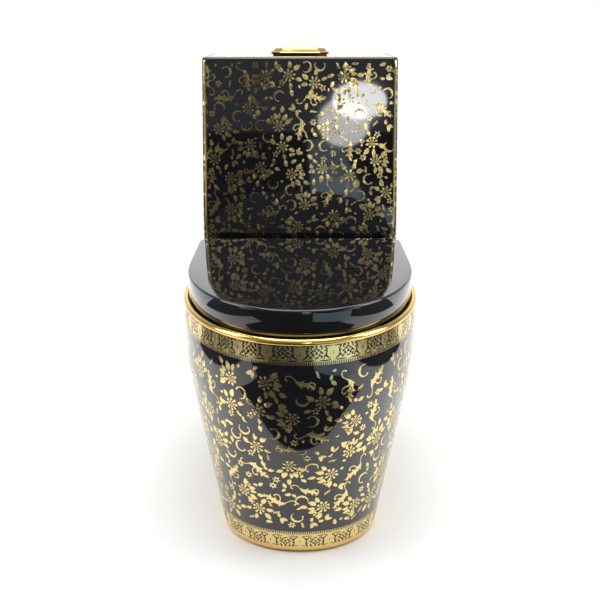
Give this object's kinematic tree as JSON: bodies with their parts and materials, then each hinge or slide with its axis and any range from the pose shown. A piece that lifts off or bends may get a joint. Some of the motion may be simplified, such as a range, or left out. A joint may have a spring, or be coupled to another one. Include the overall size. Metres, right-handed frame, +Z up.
{
  "type": "toilet",
  "caption": "Skirted one-piece toilet in black glaze with fired gold flowers and borders, wrap-over seat and lid, two-part push button and cistern valves.",
  "frame": {"origin": "on the floor, at the middle of the footprint, half way between the pan's front and the wall", "axes": "+Z up, -Y towards the front of the pan, +X to the right as seen from the front"},
  "size_m": [0.388, 0.668, 0.7812],
  "materials": {
    "black_glaze": "glossy black glaze with fired gold film",
    "black_seat": "high-gloss moulded urea",
    "gold_plate": "polished gold-plated moulded plastic",
    "gold_metal": "polished",
    "steel": "plain",
    "black_rubber": "moulded",
    "grey_rubber": "moulded, soft",
    "red_rubber": "moulded silicone",
    "white_plastic": "moulded",
    "clear_plastic": "moulded, milky",
    "blue_plastic": "moulded",
    "black_plastic": "moulded"
  },
  "bodies": {
    "body": {"ceramic_skirt": "black_glaze", "ceramic_bowl": "black_glaze", "ceramic_deck": "black_glaze", "ceramic_cistern": "black_glaze", "waste_seal": "black_rubber", "floor_brackets": "steel", "bracket_screws": "steel", "screw_caps": "gold_plate", "hinge_posts": "gold_metal", "hinge_pins": "steel", "hinge_studs": "steel", "hinge_washers": "black_rubber", "hinge_wing_nuts": "white_plastic", "valve_body": "white_plastic", "valve_base_seal": "black_rubber", "valve_screws": "steel", "screw_anchors": "black_rubber", "valve_tower": "clear_plastic", "lever_pins": "steel", "fill_valve_body": "white_plastic", "fill_valve_cap": "blue_plastic", "shank_washer": "black_rubber", "shank_nut": "white_plastic", "refill_pipe": "clear_plastic"},
    "ring": {"seat_ring": "black_seat", "ring_buffers": "grey_rubber", "ring_damper": "white_plastic", "ring_hinge_bush": "white_plastic"},
    "lid": {"seat_lid": "black_seat", "lid_buffers": "grey_rubber", "lid_damper": "white_plastic", "lid_hinge_bush": "white_plastic"},
    "cover": {"cistern_cover": "black_glaze", "cover_pads": "grey_rubber", "button_surround": "gold_plate", "button_sleeve": "white_plastic", "button_locknut": "white_plastic", "button_spring_full": "steel", "button_spring_half": "steel"},
    "full_button": {"full_flush_button": "gold_plate", "full_push_rod": "white_plastic"},
    "half_button": {"half_flush_button": "gold_plate", "half_push_rod": "white_plastic"},
    "full_lever_arm": {"full_lever": "blue_plastic"},
    "half_lever_arm": {"half_lever": "blue_plastic"},
    "canister": {"overflow_tube": "clear_plastic", "valve_seal": "red_rubber"},
    "small_float": {"half_flush_float": "clear_plastic"},
    "float": {"float_cup": "black_plastic", "float_link": "steel"},
    "float_lever": {"float_arm": "blue_plastic"}
  },
  "joints": [
    {"name": "ring_hinge", "type": "hinge", "parent": "body", "child": "ring", "pos_m": [0, 0.102, 0.415], "axis": [-1, 0, 0], "range_deg": [0, 91]},
    {"name": "lid_hinge", "type": "hinge", "parent": "ring", "child": "lid", "pos_m": [0, 0.102, 0.415], "axis": [1, 0, 0], "range_deg": [-92, 0]},
    {"name": "cover_lift", "type": "slide", "parent": "body", "child": "cover", "axis": [0, 0, 1], "range_m": [0, 0.25]},
    {"name": "full_press", "type": "slide", "parent": "cover", "child": "full_button", "axis": [0, 0, -1], "range_m": [0, 0.006], "stiffness_N_per_m": 400, "springref_m": -0.006, "deforming": ["button_spring_full"]},
    {"name": "half_press", "type": "slide", "parent": "cover", "child": "half_button", "axis": [0, 0, -1], "range_m": [0, 0.006], "stiffness_N_per_m": 400, "springref_m": -0.006, "deforming": ["button_spring_half"]},
    {"name": "float_rise", "type": "slide", "parent": "body", "child": "float", "axis": [0, 0, 1], "range_m": [0, 0.014]},
    {"name": "full_lever_turn", "type": "hinge", "parent": "body", "child": "full_lever_arm", "pos_m": [-0.036, 0.242, 0.628], "axis": [0, -1, 0], "range_deg": [0, 26]},
    {"name": "canister_rise", "type": "slide", "parent": "body", "child": "canister", "axis": [0, 0, 1], "range_m": [0, 0.0078]},
    {"name": "half_lever_turn", "type": "hinge", "parent": "body", "child": "half_lever_arm", "pos_m": [0.036, 0.242, 0.628], "axis": [0, 1, 0], "range_deg": [0, 26]},
    {"name": "small_float_rise", "type": "slide", "parent": "body", "child": "small_float", "axis": [0, 0, 1], "range_m": [0, 0.0055]},
    {"name": "float_arm_turn", "type": "hinge", "parent": "body", "child": "float_lever", "pos_m": [-0.083, 0.255, 0.64], "axis": [0, 1, 0], "range_deg": [0, 22]}
  ],
  "couplings": [
    {"joint": "full_lever_turn", "follows": "full_press", "rad_per_m": 73.819},
    {"joint": "canister_rise", "follows": "full_press", "ratio": 1.25},
    {"joint": "half_lever_turn", "follows": "half_press", "rad_per_m": 73.819},
    {"joint": "small_float_rise", "follows": "half_press", "ratio": 0.8571},
    {"joint": "float_arm_turn", "follows": "float_rise", "rad_per_m": 26.951}
  ]
}
